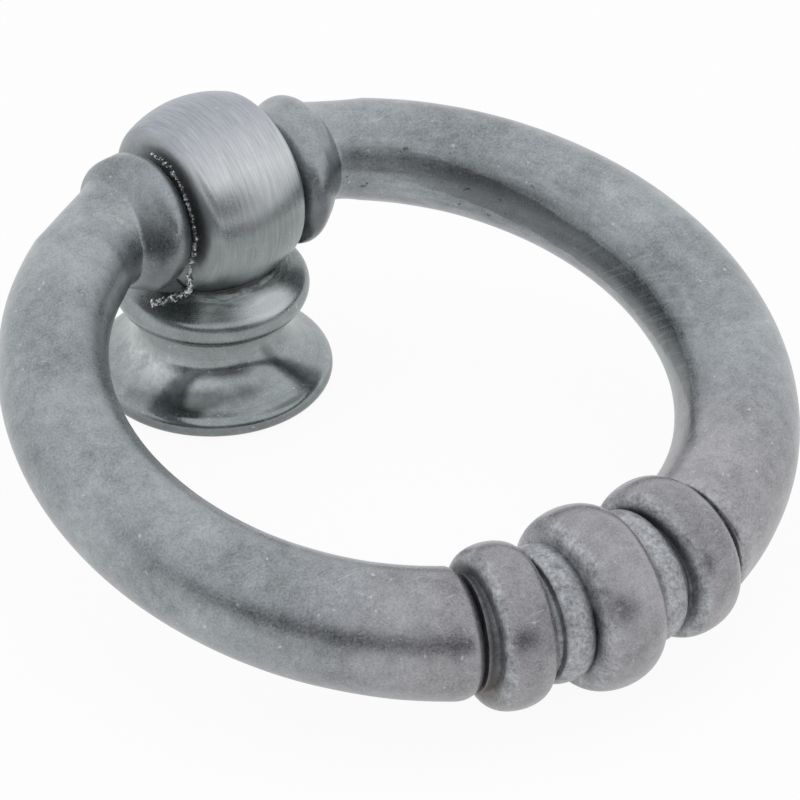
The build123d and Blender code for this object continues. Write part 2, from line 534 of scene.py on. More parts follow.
ring = run_tree(tree, "ring_casting", ring_sizes)
print("ring:", len(ring.data.vertices), "vertices,", triangles(ring.data), "triangles")

# %% [markdown]
# ## The post
#
# The foot, neck, collar and flare were turned on one axis, and the barrel on another, so each is a profile spun round
# its axis. A Screw modifier could spin them, but here the script works out the points itself: the profile starts at
# the bottom of the tapped hole, so that the hole is part of the same skin, and its thread needs a radius that winds up
# by one pitch in each turn. Two boolean modifiers fuse the barrel with the stem and drill the bore for the pin.


# %% Helpers for profiles
def arc_points(centre, radius, start, end, count):
    """Points of an arc, with its angles in degrees."""
    angles = np.radians(np.linspace(start, end, count))
    return np.column_stack((centre[0] + radius * np.cos(angles), centre[1] + radius * np.sin(angles)))


def bell_points(start, start_way, end, end_way, count):
    """Points of a smooth curve between two points that leaves and arrives in given directions."""
    start, end = np.array(start), np.array(end)
    chord = np.linalg.norm(end - start)
    t = np.linspace(0, 1, count)[:, None]
    leave = np.array(start_way) * chord
    arrive = np.array(end_way) * chord
    near_start = (2 * t**3 - 3 * t**2 + 1) * start + (t**3 - 2 * t**2 + t) * leave
    return near_start + (3 * t**2 - 2 * t**3) * end + (t**3 - t**2) * arrive


def direction(degrees):
    """A step of length 1 in a direction."""
    return math.cos(math.radians(degrees)), math.sin(math.radians(degrees))


def soften(points, gap, passes):
    """Spaces points evenly along their line and rounds its corners a little."""
    way = np.concatenate(([0], np.cumsum(np.linalg.norm(np.diff(points, axis=0), axis=1))))
    even = np.linspace(0, way[-1], int(way[-1] / gap))
    points = np.column_stack([np.interp(even, way, points[:, axis]) for axis in (0, 1)])
    for _ in range(passes):
        points[1:-1] = (points[:-2] + 2 * points[1:-1] + points[2:]) / 4
    return points


print("profiles can be drawn and softened")

# %% Spin a profile
SPIN = 160


def spin(name, profile, wind=None):
    """Spins a profile of radius and height round Z. Both ends lie on the axis."""
    ring_count = len(profile) - 2
    angle = np.linspace(0, 2 * np.pi, SPIN, endpoint=False)
    radius = np.repeat(profile[1:-1, :1], SPIN, axis=1)
    height = np.repeat(profile[1:-1, 1:], SPIN, axis=1)
    if wind is not None:
        radius = radius + wind(height, angle[None, :], radius)
    rows = np.stack((radius * np.cos(angle), radius * np.sin(angle), height), axis=-1).reshape(-1, 3)
    ends = np.array([[0, 0, profile[0, 1]], [0, 0, profile[-1, 1]]])
    columns = [(column, (column + 1) % SPIN) for column in range(SPIN)]
    faces = []
    for row in range(ring_count - 1):
        low, high = row * SPIN, (row + 1) * SPIN
        faces += [(low + here, low + beside, high + beside, high + here) for here, beside in columns]
    first, last, top = ring_count * SPIN, ring_count * SPIN + 1, (ring_count - 1) * SPIN
    for here, beside in columns:
        faces += [(first, beside, here), (last, top + here, top + beside)]
    mesh = bpy.data.meshes.new(name)
    mesh.from_pydata(np.vstack((rows, ends)).tolist(), [], faces)
    mesh.update()
    return mesh


print("profiles are spun in", SPIN, "steps")

# %% Stem of the post
HOLE_DEPTH = 10.0
HOLE_RADIUS = 1.73
HOLE_ROWS = 110
HOLE_MOUTH = 0.3
THREAD_PITCH = 0.794
THREAD_DEPTH = 0.3
UNDERSIDE_STEP = 4.5
WAIST_RADIUS, WAIST_HEIGHT = 4.9, 4.408
NECK_ARC = 6.15
FLARE_TOP_RADIUS, FLARE_TOP_HEIGHT = 3.75, 10.7
rim = arc_points((7.24, 0.75), 0.745, -90, 70, 30)
bell = bell_points(rim[-1], direction(160), (WAIST_RADIUS, WAIST_HEIGHT), (0, 1), 40)
neck = arc_points((WAIST_RADIUS + NECK_ARC, WAIST_HEIGHT), NECK_ARC, 180, 167.32, 20)
collar = arc_points((5.05, 7.158), 1.4, -88, 32, 50)
flare = bell_points(collar[-1], direction(155), (FLARE_TOP_RADIUS, FLARE_TOP_HEIGHT), (0, 1), 60)
outside = soften(np.vstack((rim, bell[1:], neck[1:], collar, flare[1:])), 0.1, 6)
hole_wall = np.column_stack((np.full(HOLE_ROWS, HOLE_RADIUS), np.linspace(HOLE_DEPTH, HOLE_MOUTH, HOLE_ROWS)))
stem_profile = np.vstack(
    (
        [(0, HOLE_DEPTH + 0.9), (HOLE_RADIUS * 0.5, HOLE_DEPTH + 0.45)],
        hole_wall,
        [(HOLE_RADIUS + HOLE_MOUTH, 0), (UNDERSIDE_STEP, 0)],
        outside,
        [(FLARE_TOP_RADIUS, BARREL_HEIGHT), (0, BARREL_HEIGHT)],
    )
)


def thread(height, angle, radius):
    """The wound thread in the tapped hole, and nothing elsewhere."""
    inside = (np.abs(radius - HOLE_RADIUS) < 1e-6) & (height < HOLE_DEPTH - 0.5)
    phase = (height / THREAD_PITCH - angle / (2 * np.pi)) % 1.0
    return np.where(inside, THREAD_DEPTH * np.abs(2 * phase - 1), 0.0)


stem_mesh = spin("stem", stem_profile, thread)
print("stem rows:", len(stem_profile))

# %% Barrel and bore of the post
BARREL_HALF = 3.85
BARREL_CROWN = 6.44
BARREL_RISE = 1.0
SHOULDER = 0.7
SHOULDER_DROP = 0.95
BORE_RADIUS = 1.5
BORE_HALF = 4.1
CAP_ROWS = 13
barrel_arc = (BARREL_HALF**2 + BARREL_RISE**2) / (2 * BARREL_RISE)


def over_shoulder(along):
    """How far over a shoulder a place along the barrel lies, from 0 to 1 at the end."""
    return np.clip(1 - (BARREL_HALF - np.abs(along)) / SHOULDER, 0, 1)


def barrel_radius(along):
    """The barrel's radius at a place along its axis, with rounded shoulders at both ends."""
    crown = BARREL_CROWN - barrel_arc + np.sqrt(barrel_arc**2 - along**2)
    return crown - SHOULDER_DROP * (1 - np.sqrt(1 - over_shoulder(along) ** 2))


def lay_across(mesh, height):
    """Turns a mesh that was spun round Z to lie along X at a height."""
    mesh.transform(Matrix.Translation((0, 0, height)) @ Matrix.Rotation(math.pi / 2, 4, "Y"))
    return mesh


along = BARREL_HALF * np.sin(np.linspace(-np.pi / 2, np.pi / 2, 90))
swell = barrel_radius(along)
left_cap = np.linspace(0.0, swell[0], CAP_ROWS + 1)[:-1]
right_cap = np.linspace(0.0, swell[-1], CAP_ROWS + 1)[:-1][::-1]
barrel_profile = np.vstack(
    (
        np.column_stack((left_cap, np.full(CAP_ROWS, -BARREL_HALF))),
        np.column_stack((swell, along)),
        np.column_stack((right_cap, np.full(CAP_ROWS, BARREL_HALF))),
    )
)
barrel_mesh = lay_across(spin("barrel", barrel_profile), BARREL_HEIGHT)
bore_profile = [(0, -BORE_HALF), (BORE_RADIUS, -BORE_HALF), (BORE_RADIUS, BORE_HALF), (0, BORE_HALF)]
bore_mesh = lay_across(spin("bore", np.array(bore_profile)), PIVOT_HEIGHT)
print("barrel rows:", len(barrel_profile))


# %% Fuse the post
def orient(mesh):
    """Turns all faces of a closed mesh outwards."""
    shape = bmesh.new()
    shape.from_mesh(mesh)
    bmesh.ops.recalc_face_normals(shape, faces=shape.faces)
    shape.to_mesh(mesh)
    shape.free()


for mesh in (stem_mesh, barrel_mesh, bore_mesh):
    orient(mesh)
post = loose_object("post_casting", stem_mesh)
helpers = [loose_object("barrel", barrel_mesh), loose_object("bore", bore_mesh)]
for helper, operation in zip(helpers, ("UNION", "DIFFERENCE")):
    cutter = post.modifiers.new(helper.name, "BOOLEAN")
    cutter.operation = operation
    cutter.solver = "MANIFOLD"
    cutter.object = helper
fused_mesh = plain_mesh(post)
post.modifiers.clear()
post.data = fused_mesh
for helper in helpers:
    bpy.data.objects.remove(helper)
fused_mesh.transform(Matrix.Scale(MM, 4))
fused_mesh.shade_smooth()
fused_mesh.set_sharp_from_angle(angle=CREASE_ANGLE)
post_metal = bpy.data.materials.new("post_patina")
fused_mesh.materials.clear()
fused_mesh.materials.append(post_metal)
print("post:", len(fused_mesh.vertices), "vertices,", triangles(fused_mesh), "triangles")

# %% [markdown]
# ## Bare metal where the ring rubs
#
# Where the left bead rubs on the barrel's end and on the flare below it, the patina is worn through and crumbs of
# bright metal stand in the gap. They follow a path, so Geometry Nodes strew small grains along it, each with its own
# size and turn from a fixed seed. The grains sit on the post and keep clear of the ring.

# %% Path of the rub
ABOVE_SKIN = 0.03


def flare_height(x, y):
    """The height of the post's flare at a place below the end bead."""
    return np.interp(-np.hypot(x, y), -flare[:, 0], flare[:, 1])


end_spots = ((0.97, 18.21), (-0.73, 18.16), (-2.18, 17.23), (-3.19, 15.52), (-3.57, 14.1), (-3.33, 12.88), (-2.9, 11.5))
corner_spots = [(-3.85, -2.75, 10.4), (-3.62, -2.6, 9.55)]
tail_spots = ((-3.95, -2.3), (-4.3, -2.05), (-4.66, -1.75), (-5.1, -1.4), (-5.57, -1.0))
rub_points = [(-BARREL_HALF - ABOVE_SKIN, y, z) for y, z in end_spots]
rub_points += corner_spots
rub_points += [(x, y, flare_height(x, y) + ABOVE_SKIN) for x, y in tail_spots]
rub_path = bpy.data.meshes.new("rub_path")
rub_path.from_pydata(rub_points, [(i, i + 1) for i in range(len(rub_points) - 1)], [])
print("rub path:", len(rub_points), "points")

# %% Tree for the rub grains
bare_metal = bpy.data.materials.new("bare_metal")
rub_sizes = {"Spacing": 0.05, "Grain Size": 0.2, "Scatter": (0.03, 0.13, 0.13), "Seed": 11, "Metal": bare_metal}
tree, given, wanted = new_tree("rub grains", {"Path": "Geometry", **kinds(rub_sizes)})
FULL_TURN = 6.28
SMALL_GRAIN, LARGE_GRAIN = 0.6, 1.3
SWELL_FROM_Z, SWELL_TO_Z = 15.5, 9.5


def random_vector(low, high, shift):
    """A random vector for each point, from a fixed seed."""
    inputs = {0: low, 1: high, "Seed": given("Seed") + shift}
    return read(0, tree, "FunctionNodeRandomValue", inputs, data_type="FLOAT_VECTOR")


curve = add(tree, "GeometryNodeMeshToCurve", {"Mesh": given("Path")})
inputs = {"Curve": curve, "Length": given("Spacing")}
points = add(tree, "GeometryNodeCurveToPoints", inputs, mode="LENGTH").outputs["Points"]
shift = random_vector(scale_vector(given("Scatter"), -1.0), given("Scatter"), 0)
strewn = set_position(points, Offset=shift)
grain_size = random_vector((0.2, 0.2, 0.2), (1.0, 1.0, 1.0), 2)
swelling = blend(SMALL_GRAIN, LARGE_GRAIN, ease(split(position(tree))[2], SWELL_FROM_Z, SWELL_TO_Z))
inputs = {"Radius": given("Grain Size"), "Subdivisions": 1}
grain = add(tree, "GeometryNodeMeshIcoSphere", inputs).outputs["Mesh"]
inputs = {
    "Points": strewn,
    "Instance": grain,
    "Rotation": random_vector((0, 0, 0), (FULL_TURN, FULL_TURN, FULL_TURN), 1),
    "Scale": scale_vector(grain_size, swelling),
}
grains = add(tree, "GeometryNodeInstanceOnPoints", inputs)
scaled = add(tree, "GeometryNodeTransform", {"Geometry": grains, "Scale": (MM, MM, MM)})
feed(wanted["Mesh"], dress(scaled, given("Metal")))
rub = run_tree(tree, "rub_grains", rub_sizes, rub_path)
print("rub grains:", len(rub.data.polygons), "faces")

# %% [markdown]
# ## Where the patina is dark
#
# Dark wax and oxide stay in the grooves of the ornament, and hands rub it off the crowns. That could be painted by
# hand on the mesh, but numbers that are worked out from the sizes follow the shape exactly. So each vertex of the ring
# gets a number for its depth: `recess` runs from 0 on the crowns to 1 at the bottom of a groove. More numbers say where
# on the ring a point is: `station` runs along the ornament, `turn` round the ring, `inward` is 1 on the side that faces
# the finger, `upward` is 1 on top, `knuckle` is 1 on the ends and `bead_side` grows towards the left flank of a bead.

# %% Measure how deep each vertex of the ring lies
IN_ORNAMENT, NEAR_ORNAMENT, FAR_AWAY = 8.72, 14, 99.0
GROOVE_TOP, GROOVE_DEPTH = 5.05, 1.25


def vertex_spots(mesh):
    """The place of each vertex, in millimetres."""
    flat = np.empty(len(mesh.vertices) * 3)
    mesh.vertices.foreach_get("co", flat)
    return flat.reshape(-1, 3) / MM


def store(mesh, name, numbers):
    """Keeps one number for each vertex under a name that a shader can read."""
    mesh.attributes.new(name, "FLOAT", "POINT").data.foreach_set("value", numbers.astype(np.float32))


x, hung_y, hung_z = (vertex_spots(ring.data) - (0, 0, PIVOT_HEIGHT)).T
cos_s, sin_s = math.cos(rest_slope), math.sin(rest_slope)
y, z = hung_y * cos_s + hung_z * sin_s, hung_z * cos_s - hung_y * sin_s

arc_centre = ornament_middle - outward * arc_radius
arc_x, arc_y = x - arc_centre.x, y - arc_centre.y
on_arc = (np.arctan2(arc_x, -arc_y) - math.atan2(outward.x, -outward.y)) * arc_radius
from_core = np.hypot(np.hypot(arc_x, arc_y) - arc_radius, z)
in_ornament = (np.abs(on_arc) < IN_ORNAMENT) & (y < RING_CENTRE_Y)
recess = np.where(in_ornament, np.clip((GROOVE_TOP - from_core) / GROOVE_DEPTH, 0, 1), 0)
store(ring.data, "recess", recess)
store(ring.data, "station", np.where(in_ornament | (np.abs(on_arc) < NEAR_ORNAMENT), on_arc, FAR_AWAY))
print(f"vertices in grooves: {(recess > 0.6).sum()} of {len(x)}")

# %% Measure where each vertex lies on the ring
KNUCKLE_EDGE, KNUCKLE_REACH = 0.8, -8
centre_y = y - RING_CENTRE_Y
spread = np.hypot(x, centre_y) - RING_RADIUS
thickness = np.maximum(np.hypot(spread, z), 1e-6)
store(ring.data, "inward", -spread / thickness)
store(ring.data, "upward", z / thickness)
store(ring.data, "turn", np.arctan2(x, -centre_y))


def by_hand(label):
    """The left or right size that goes with each vertex."""
    return np.where(x < 0, *hand_sizes[label])


past_end = np.abs(x) - by_hand("Tilt") * np.minimum(KNUCKLE_TOP - z, KNUCKLE_TOP) - by_hand("Crown") - by_hand("Fall")
store(ring.data, "knuckle", np.clip(-past_end / KNUCKLE_EDGE, 0, 1) * (y > KNUCKLE_REACH))
bead_side = np.zeros(len(x))
for middle, (width, _, _) in string:
    if width != REEL[0]:
        half = width / 2
        flank = np.where(np.abs(on_arc - middle) < half, (middle - on_arc) / half, 0)
        bead_side = np.maximum(bead_side, flank)
store(ring.data, "bead_side", np.where(in_ornament, bead_side, 0))
print(f"vertices on the knuckles: {((past_end < 0) & (y > KNUCKLE_REACH)).sum()} of {len(x)}")

# %% [markdown]
# On the post, `barrel` marks the brushed barrel, `barrel_end` its shoulders and end faces, which get painted shade, and
# `crevice` the corner between the barrel and the flare, where shade is painted.

# %% Measure each vertex of the post
FLARE_LOW, FLARE_HIGH, FLARE_REACH = 7.6, 11.5, 6.2
CREVICE = 0.7
ON_SKIN, CROWN_HALF, END_FACE_RADIUS = 0.06, 3.9, 5.5
x, y, z = vertex_spots(post.data).T
from_axis = np.hypot(y, z - BARREL_HEIGHT)
inside = np.clip(x, -BARREL_HALF, BARREL_HALF)
on_crown = (np.abs(from_axis - barrel_radius(inside)) < ON_SKIN) & (np.abs(x) < CROWN_HALF) & (z > FLARE_LOW)
end_face = (np.abs(inside) >= BARREL_HALF - 1e-4) & (from_axis < END_FACE_RADIUS)
shoulder = np.where(on_crown, over_shoulder(inside) ** 4, 0.0)
store(post.data, "barrel", on_crown.astype(float))
store(post.data, "barrel_end", np.where(end_face, 1.0, shoulder))
beyond = np.hypot(np.maximum(np.abs(x) - BARREL_HALF, 0), np.maximum(from_axis - barrel_radius(inside), 0))
gap = np.where(on_crown, z - flare_height(x, y), beyond)
in_corner = ~end_face & (z > FLARE_LOW) & (z < FLARE_HIGH) & (np.hypot(x, y) < FLARE_REACH)
store(post.data, "crevice", np.where(in_corner, np.clip(1 - gap / CREVICE, 0, 1), 0.0))
print(f"vertices on the barrel: {on_crown.sum()} of {len(x)}")

# %% [markdown]
# ## Patina
#
# The finish is a thin grey oxide on metal, so the shaders are metals with a fairly rough surface. What makes it look
# real is that nothing is even: slow clouds of lighter and darker grey, a mottle of about a millimetre, a fine grain,
# bright specks where the metal shows, and hair scratches. A picture of metal could be wrapped round the pieces, but
# noise needs no unwrapping and has no seams. Both castings share the patina, so it is one node group with its own
# values in each material.

# %% Helpers for patterns and colours
def noise(place, scale, detail=3.0, roughness=0.6):
    """A noise pattern, as a value round one half."""
    inputs = {"Vector": place, "Scale": scale, "Detail": detail, "Roughness": roughness}
    return read("Fac", place.tree, "ShaderNodeTexNoise", inputs)


def stretch(place, scale, rotation=(0, 0, 0)):
    """Coordinates that are turned and scaled, so that a pattern gets long and thin."""
    inputs = {"Vector": place, "Rotation": rotation, "Scale": scale}
    return read(0, place.tree, "ShaderNodeMapping", inputs)


def ramp(value, low, high, to_low=0.0, to_high=1.0):
    """Maps a value from one range to another and clamps it."""
    inputs = {"Value": value, "From Min": low, "From Max": high, "To Min": to_low, "To Max": to_high}
    return read("Result", value.tree, "ShaderNodeMapRange", inputs, clamp=True)


def near(value, middle, width):
    """1 where a value is at the middle, falling to 0 at a width from it."""
    return ramp(abs(value - middle), 0.0, width, 1.0, 0.0)


def mix(share, first, second, mode="MIX"):
    """Mixes two colours."""
    inputs = {"Factor": share, 6: first, 7: second}
    return read(2, owner(share, first, second), "ShaderNodeMix", inputs, data_type="RGBA", blend_type=mode)


print("patterns can be drawn and colours mixed")

# %% Shader group for the cloudy patina
patina, given, wanted = new_tree(
    "cloudy patina",
    {"Vector": "Vector", "Light": "Color", "Dark": "Color", "Cloud Scale": "Float", "Grain Scale": "Float"},
    {"Color": "Color", "Roughness": "Float", "Height": "Float"},
)
place = given("Vector")
clouds = ramp(noise(place, given("Cloud Scale"), 4.0, 0.6), 0.32, 0.68)
mottle = ramp(noise(place, given("Cloud Scale") * 6.0, 3.0, 0.65), 0.3, 0.7)
grain = noise(place, given("Grain Scale"), 2.0, 0.75)
tone = clouds * 0.5 + mottle * 0.32 + (ramp(grain, 0.35, 0.65) * 0.4 - 0.12)
colour = mix(tone, given("Dark"), given("Light"))
speck = ramp(noise(place, given("Grain Scale") * 0.32, 1.0, 0.5), 0.73, 0.79)
colour = mix(speck * 0.6, colour, (0.66, 0.67, 0.68, 1))
first_way = stretch(place, (420.0, 7600.0, 7600.0), (0.4, 0.9, 0.7))
second_way = stretch(place, (520.0, 8200.0, 8200.0), (1.3, -0.5, 2.1))
scratch = ramp(noise(first_way, 1.0, 1.0, 0.4), 0.715, 0.76)
scratch = calc("MAXIMUM", scratch, ramp(noise(second_way, 1.0, 1.0, 0.4), 0.72, 0.77))
feed(wanted["Color"], mix(scratch * 0.45, colour, (0.6, 0.61, 0.62, 1)))
feed(wanted["Roughness"], ramp(clouds, 0, 1, 0.27, 0.36) + ramp(grain, 0.3, 0.7, -0.06, 0.06))
feed(wanted["Height"], grain - scratch * 0.5)
print("shader group:", patina.name)


# %% Helpers for the materials
BUMP_DISTANCE = 0.00004


def start_material(material):
    """Clears a material and returns its tree, its metal shader's inputs and Object coordinates."""
    material.use_nodes = True
    tree = material.node_tree
    tree.nodes.clear()
    metal = add(tree, "ShaderNodeBsdfPrincipled", {"Metallic": 1.0})
    add(tree, "ShaderNodeOutputMaterial", {"Surface": metal})
    place = read("Object", tree, "ShaderNodeTexCoord")
    return tree, metal.inputs, place


def attribute(tree, name):
    """A number that was stored on the mesh."""
    return read("Fac", tree, "ShaderNodeAttribute", attribute_name=name)


def lay_patina(place, light, dark, cloud_scale, grain_scale):
    """The cloudy patina group inside a material."""
    inputs = {"Vector": place, "Light": light, "Dark": dark, "Cloud Scale": cloud_scale, "Grain Scale": grain_scale}
    node = add(place.tree, "ShaderNodeGroup", inputs, node_tree=patina)
    return {socket.name: Value(socket) for socket in node.outputs}


def finish_metal(metal, colour, rough, height=None, strength=0.0):
    """Links the colour, the roughness and the small relief of a metal."""
    feed(metal["Base Color"], colour)
    feed(metal["Roughness"], rough)
    if height is not None:
        inputs = {"Strength": strength, "Distance": BUMP_DISTANCE, "Height": height}
        feed(metal["Normal"], add(height.tree, "ShaderNodeBump", inputs))


print(f"bump distance: {BUMP_DISTANCE / MM:.2f} mm")

# %% [markdown]
# ## Finish of the ring
#
# On the front bars and beads the grey is a little warm, and on the left and the back it is greenish. The grooves and
# the left flanks of the beads were never rubbed, so they stay rough and granular, light and dark side by side, with a
# black line in each corner. The side that faces the finger is darker, partly from dark patina and partly from painted
# shade, with streaks along the bar, a dark stripe that is a painted dark reflection over some patina, file marks
# across it and a few pits near the right end. A painted highlight lies on the upper inner flank of the left bar, by its
# knuckle. The knuckles get painted shade on their undersides and are a little darker all over. Each of these is a
# mask that mixes one more colour over those before it. The masks are made of the stored numbers and of noise, so they
# follow the ring's shape and swing with it.

# %% Colour of the ring's bar
SECTION_RADIUS = 4.0
tree, metal, place = start_material(ring_metal)
labels = ("turn", "inward", "upward", "station", "recess", "knuckle", "bead_side")
turn, inward, upward, station, recess, knuckle, bead_side = [attribute(tree, label) for label in labels]
aside = ramp(abs(turn), 0.45, 1.1)
light = mix(aside, (0.5, 0.485, 0.505, 1), (0.475, 0.508, 0.525, 1))
dark = mix(aside, (0.17, 0.165, 0.178, 1), (0.165, 0.183, 0.188, 1))
coat = lay_patina(place, light, dark, 150.0, 6600.0)

section_turn = calc("ARCTAN2", upward, inward)
along = turn * RING_RADIUS
across = section_turn * SECTION_RADIUS
before_end = ramp(turn, 2.62, 2.74, 1.0, 0.0)
streak_place = xyz(along * 0.16, across * 1.5)
streaks = ramp(noise(streak_place, 1.0, 4.0, 0.6), 0.36, 0.6)
# Painted shade, partly dark patina: the inner side of the bars is darker, in streaks along the bar.
inner_shade_and_patina = ramp(inward, 0.25, 0.65) * ramp(turn, 0.75, 1.15) * before_end
colour = mix(inner_shade_and_patina * ramp(streaks, 0.0, 1.0, 0.3, 0.02), coat["Color"], (0.1, 0.104, 0.108, 1))
print("ring material has", len(tree.nodes), "nodes")

# %% Stripe, file marks and pits of the ring
# A painted dark reflection over some dark patina: a stripe along the inner side of the right and back bars.
stripe_edge = noise(streak_place, 3.0) * 0.22 - 0.11
stripe_middle = (1.7 - turn) ** 2.0 * 0.63 + 0.1
stripe_width = ramp(turn, 0.8, 1.4, 0.05, 0.32)
past_stripe = abs(section_turn + stripe_edge - stripe_middle) - stripe_width
reflection_stripe = ramp(past_stripe, -0.02, 0.02, 1.0, 0.0) * ramp(turn, 0.5, 0.7) * ramp(turn, 2.2, 2.6, 1.0, 0.0)
colour = mix(reflection_stripe * 0.62, colour, (0.085, 0.09, 0.095, 1))

marks_place = xyz(along * 2.6 + across * 2.2, across * 0.25)
marks = ramp(noise(marks_place, 1.0, 2.0, 0.5), 0.52, 0.62)
filed = marks * ramp(inward, 0.45, 0.7) * near(turn, 1.35, 0.55)
colour = mix(filed * 0.3, colour, (0.42, 0.44, 0.455, 1))
pits = ramp(noise(place, 1700.0, 2.0, 0.6), 0.66, 0.72)
pits = pits * ramp(inward, 0.5, 0.8) * ramp(turn, 1.9, 2.2) * before_end
colour = mix(pits * 0.8, colour, (0.05, 0.05, 0.055, 1))

# A painted highlight: the upper inner flank of the left bar, by its knuckle, is lighter, in grains.
flank_highlight = ramp(noise(place, 2600.0, 3.0, 0.7), 0.35, 0.65, 0.3, 1.0)
flank_highlight = near(turn, -2.71, 0.1) * near(section_turn, 1.1, 0.7) * flank_highlight
colour = mix(flank_highlight * 0.65, colour, (0.66, 0.68, 0.69, 1))
# Painted shade on the knuckles: dark on their undersides and a little darker all over.
knuckle_shade = knuckle * ramp(upward, 0.5, 0.0) * 0.55 + knuckle * 0.14
colour = mix(knuckle_shade, colour, (0.1, 0.104, 0.108, 1))
print("ring material has", len(tree.nodes), "nodes")

# %% Colour of the ring's grooves
CORNERS = ((2.4, 0.28), (4.6, 0.26), (8.4, 0.6))
fine = ramp(noise(place, 4600.0, 3.0, 0.8), 0.36, 0.64)
granular = fine * 0.55 + ramp(noise(place, 1100.0), 0.35, 0.65) * 0.45
crumbs = mix(granular, (0.16, 0.165, 0.175, 1), (0.7, 0.72, 0.74, 1))
hollow = ramp(bead_side, 0.45, 0.95) * 0.6 + recess
groove_edge = ramp(noise(place, 1500.0, 3.0, 0.7), 0.3, 0.7, -0.2, 0.2)
unrubbed = ramp(hollow + groove_edge, 0.16, 0.38)
colour = mix(unrubbed * 0.8, colour, crumbs)
crown = ramp(hollow, 0.05, 0.2, 1.0, 0.0) * ramp(abs(station), 8.6, 8.75, 1.0, 0.0)
colour = mix(crown * 0.14, colour, (0.13, 0.126, 0.134, 1))
lines = [near(abs(station), middle, width) for middle, width in CORNERS]
corner = calc("MAXIMUM", calc("MAXIMUM", lines[0], lines[1]), lines[2]) * ramp(recess, 0.45, 0.8)
colour = mix(corner * 0.85, colour, (0.035, 0.035, 0.038, 1))
brown = near(station, -8.3, 0.9) * ramp(upward, 0.35, -0.5) * ramp(recess, 0.3, 0.7)
colour = mix(brown * 0.6, colour, (0.17, 0.125, 0.09, 1))
bar_end = near(turn, 0.355, 0.075) * ramp(granular, 0.2, 0.8)
colour = mix(bar_end * 0.55, colour, (0.58, 0.6, 0.61, 1))
metal["Coat Weight"].default_value = 0.5
metal["Coat Roughness"].default_value = 0.3
rough = coat["Roughness"] + unrubbed * 0.2 - crown * 0.06
relief = coat["Height"] + unrubbed * granular * 2.5 + filed * 0.8 - pits * 3.0
finish_metal(metal, colour, rough, relief, 0.3)
print("ring material has", len(tree.nodes), "nodes")

# %% [markdown]
# ## Finish of the post
#
# The barrel was brushed round its axis, so its lines run round it. Light is painted on it: it gets lighter and slightly
# lilac towards its top, with a painted highlight on its upper front, and its rounded shoulders and end faces get
# painted shade. The collar, neck and foot were polished on a lathe: they are smoother, greenish, and carry faint rings.
# Dark marks lie across the foot, partly stains and partly painted dark reflections, and the bottom of its rim gets
# painted shade. Under the barrel the flare gets painted shade and smears of dirt; a painted highlight lies on the front
# of the collar; and painted shade fills the corner between the barrel and the flare. An anisotropic shader could give a
# brushed look too, but here the brushed lines are noise that is squeezed along the barrel's axis. The rings are noise
# that changes only with height.

# %% Colour of the barrel
tree, metal, place = start_material(post_metal)
barrel, barrel_end, crevice = [attribute(tree, label) for label in ("barrel", "barrel_end", "crevice")]
coat = lay_patina(place, (0.4, 0.435, 0.435, 1), (0.22, 0.245, 0.245, 1), 190.0, 7200.0)
x, y, height = split(place)
around = calc("ARCTAN2", height - BARREL_HEIGHT * MM, y * -1.0)
brush = ramp(noise(stretch(place, (7000.0, 400.0, 400.0)), 1.0, 3.0, 0.65), 0.3, 0.7)
# Painted light: the barrel gets lighter and slightly lilac towards its top, with a painted highlight on its upper
# front.
brushed_and_painted_light = mix(ramp(height, 0.0152, 0.02), (0.32, 0.35, 0.35, 1), (0.47, 0.485, 0.54, 1))
brushed_and_painted_light = mix(near(around, 0.75, 0.75) * 0.9, brushed_and_painted_light, (0.86, 0.87, 0.88, 1))
brushed = mix(brush, (0.75, 0.75, 0.75, 1), (1.18, 1.18, 1.18, 1))
brushed_and_painted_light = mix(1.0, brushed_and_painted_light, brushed, "MULTIPLY")
colour = mix(barrel, coat["Color"], mix(0.36, brushed_and_painted_light, coat["Color"]))
# Painted shade on the barrel's shoulders and end faces, mottled by noise.
end_shade = mix(noise(place, 2400.0, 3.0, 0.75), (0.18, 0.188, 0.188, 1), (0.48, 0.495, 0.495, 1))
colour = mix(barrel_end * 0.8, colour, end_shade)
print("post material has", len(tree.nodes), "nodes")

# %% [markdown]
# Each dark mark of the foot, partly a stain and partly a painted dark reflection, is a row of the table: the bearing of
# its middle, how far it reaches to both sides, its level, how the level rises with the bearing, its width and its
# share.

# %% Colour of the stem
STAINS_AND_REFLECTIONS = (
    (-2.37, 1.05, 0.00206, 0.00041, 0.0007, 0.75),
    (-1.3, 0.3, 0.00285, -0.0075, 0.0013, 0.6),
    (-2.1, 0.36, 0.00365, 0.0, 0.00026, 0.45),
    (-1.5, 0.4, 0.0014, 0.0, 0.00016, 0.6),
)
lathe = 1.0 - calc("MAXIMUM", barrel, barrel_end)
rings = noise(xyz(height * 5200.0), 1.0, 2.0, 0.6)
colour = mix(lathe * ramp(rings, 0.5, 0.75) * 0.35, colour, (0.17, 0.185, 0.185, 1))
bearing = calc("ARCTAN2", y, x)
stain_and_reflection_edge = ramp(noise(place, 700.0), 0.3, 0.7, -0.14, 0.14)
# Dark marks across the foot: partly stains, partly painted dark reflections.
for middle, reach, level, rise, width, share in STAINS_AND_REFLECTIONS:
    off_level = height - ((bearing - middle) * rise + level)
    stain_and_reflection = near(off_level, 0.0, width) * near(bearing, middle, reach) * lathe
    stain_and_reflection = ramp(stain_and_reflection + stain_and_reflection_edge, 0.15, 0.6)
    colour = mix(stain_and_reflection * share, colour, (0.075, 0.083, 0.08, 1))
rubbed = near(height, 0.0031, 0.0014) * near(abs(bearing), 3.0, 1.1) * lathe
rubbed = rubbed * ramp(noise(place, 1500.0, 4.0, 0.7), 0.38, 0.6, 0.35, 1.0)
colour = mix(rubbed * 0.8, colour, (0.68, 0.71, 0.71, 1))
flared = ramp(height, 0.0079, 0.0083) * lathe
